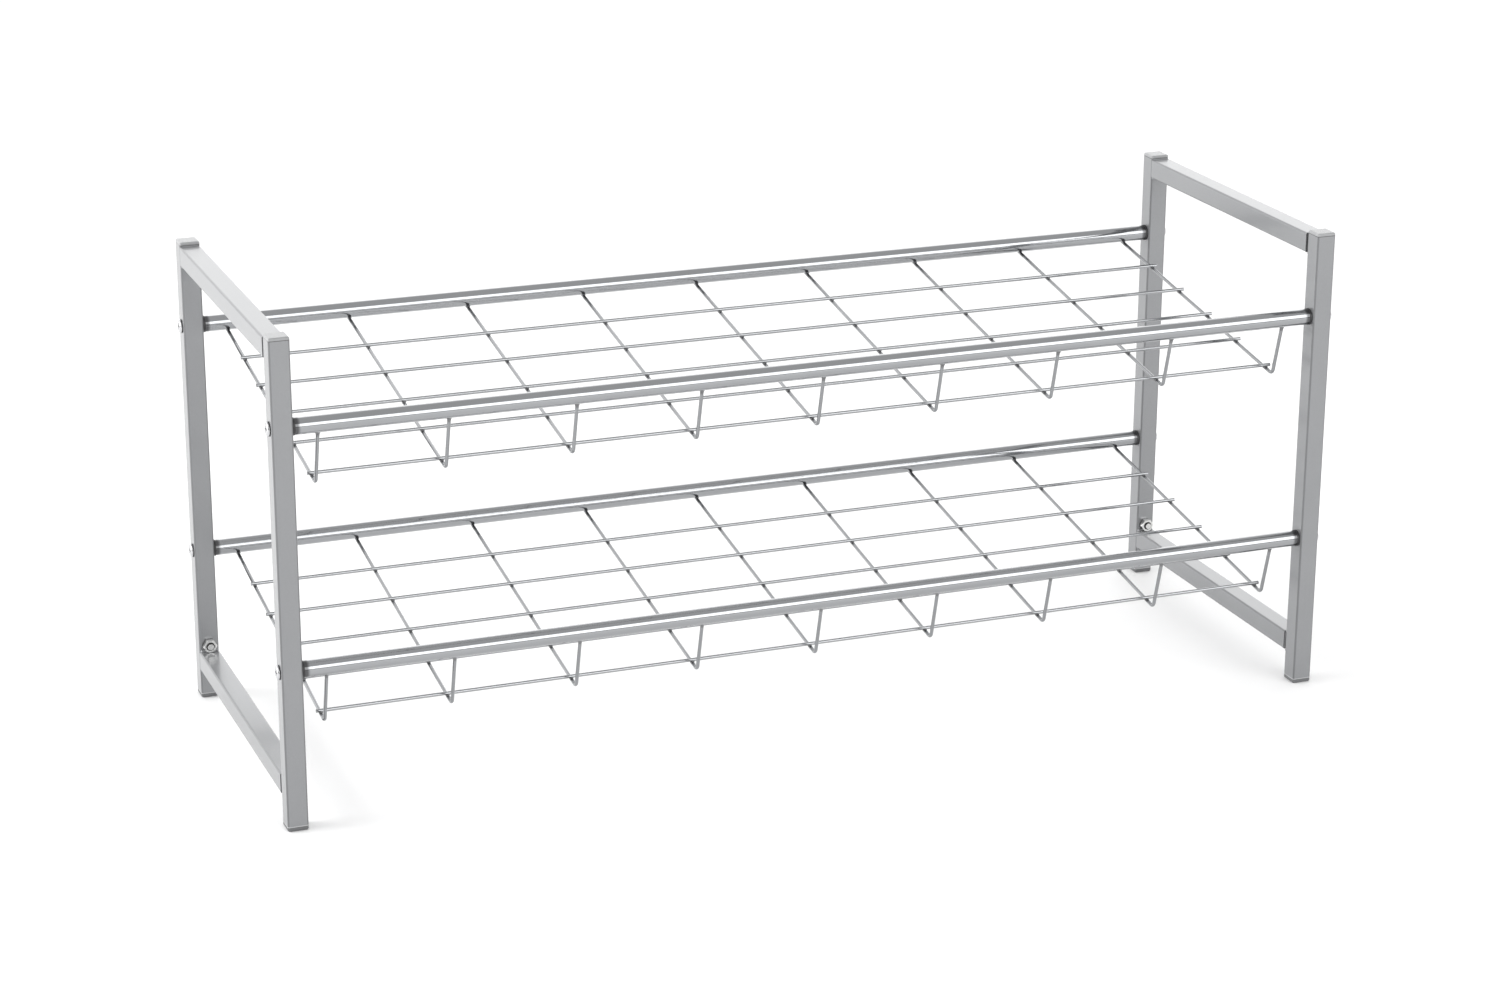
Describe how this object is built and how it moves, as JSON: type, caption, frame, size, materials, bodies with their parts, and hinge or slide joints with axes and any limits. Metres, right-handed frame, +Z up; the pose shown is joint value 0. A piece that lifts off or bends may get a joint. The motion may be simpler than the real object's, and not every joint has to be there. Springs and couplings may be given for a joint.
{
  "type": "tiered shoe rack",
  "caption": "Free-standing low shoe rack: square-tube side frames joined by round tubes that carry sloping wire shelves.",
  "frame": {"origin": "on the floor, under the middle of the rack's square-tube frames", "axes": "+X to the right along the shelves, +Y to the back (the high side of the sloping shelves), +Z up"},
  "size_m": [0.8644, 0.3032, 0.38],
  "materials": {
    "frame_paint": "silver metallic powder coat, satin",
    "cap_plastic": "light grey moulded plastic",
    "foot_plastic": "grey moulded plastic",
    "tube_chrome": "bright chrome plate",
    "wire_chrome": "bright chrome plate",
    "plug_plastic": "black moulded plastic",
    "screw_steel": "bright plated steel",
    "bolt_steel": "zinc-plated steel"
  },
  "bodies": {
    "root": {"left_bottom_rail": "frame_paint", "left_frame_screws": "screw_steel", "left_front_foot": "foot_plastic", "left_front_leg": "frame_paint", "left_front_top_cap": "cap_plastic", "left_rear_foot": "foot_plastic", "left_rear_leg": "frame_paint", "left_rear_leg_bolt": "bolt_steel", "left_rear_leg_nut": "bolt_steel", "left_rear_top_cap": "cap_plastic", "left_top_rail": "frame_paint", "lower_front_tube": "tube_chrome", "lower_front_tube_end_plugs": "plug_plastic", "lower_rear_tube": "tube_chrome", "lower_rear_tube_end_plugs": "plug_plastic", "lower_shelf_cross_wire_1": "wire_chrome", "lower_shelf_cross_wire_2": "wire_chrome", "lower_shelf_cross_wire_3": "wire_chrome", "lower_shelf_cross_wire_4": "wire_chrome", "lower_shelf_cross_wire_5": "wire_chrome", "lower_shelf_cross_wire_6": "wire_chrome", "lower_shelf_cross_wire_7": "wire_chrome", "lower_shelf_cross_wire_8": "wire_chrome", "lower_shelf_cross_wire_9": "wire_chrome", "lower_shelf_long_wire_1": "wire_chrome", "lower_shelf_long_wire_2": "wire_chrome", "lower_shelf_long_wire_3": "wire_chrome", "lower_shelf_long_wire_4": "wire_chrome", "lower_shelf_long_wire_5": "wire_chrome", "right_bottom_rail": "frame_paint", "right_frame_screws": "screw_steel", "right_front_foot": "foot_plastic", "right_front_leg": "frame_paint", "right_front_top_cap": "cap_plastic", "right_rear_foot": "foot_plastic", "right_rear_leg": "frame_paint", "right_rear_leg_bolt": "bolt_steel", "right_rear_leg_nut": "bolt_steel", "right_rear_top_cap": "cap_plastic", "right_top_rail": "frame_paint", "upper_front_tube": "tube_chrome", "upper_front_tube_end_plugs": "plug_plastic", "upper_rear_tube": "tube_chrome", "upper_rear_tube_end_plugs": "plug_plastic", "upper_shelf_cross_wire_1": "wire_chrome", "upper_shelf_cross_wire_2": "wire_chrome", "upper_shelf_cross_wire_3": "wire_chrome", "upper_shelf_cross_wire_4": "wire_chrome", "upper_shelf_cross_wire_5": "wire_chrome", "upper_shelf_cross_wire_6": "wire_chrome", "upper_shelf_cross_wire_7": "wire_chrome", "upper_shelf_cross_wire_8": "wire_chrome", "upper_shelf_cross_wire_9": "wire_chrome", "upper_shelf_long_wire_1": "wire_chrome", "upper_shelf_long_wire_2": "wire_chrome", "upper_shelf_long_wire_3": "wire_chrome", "upper_shelf_long_wire_4": "wire_chrome", "upper_shelf_long_wire_5": "wire_chrome"}
  },
  "joints": []
}
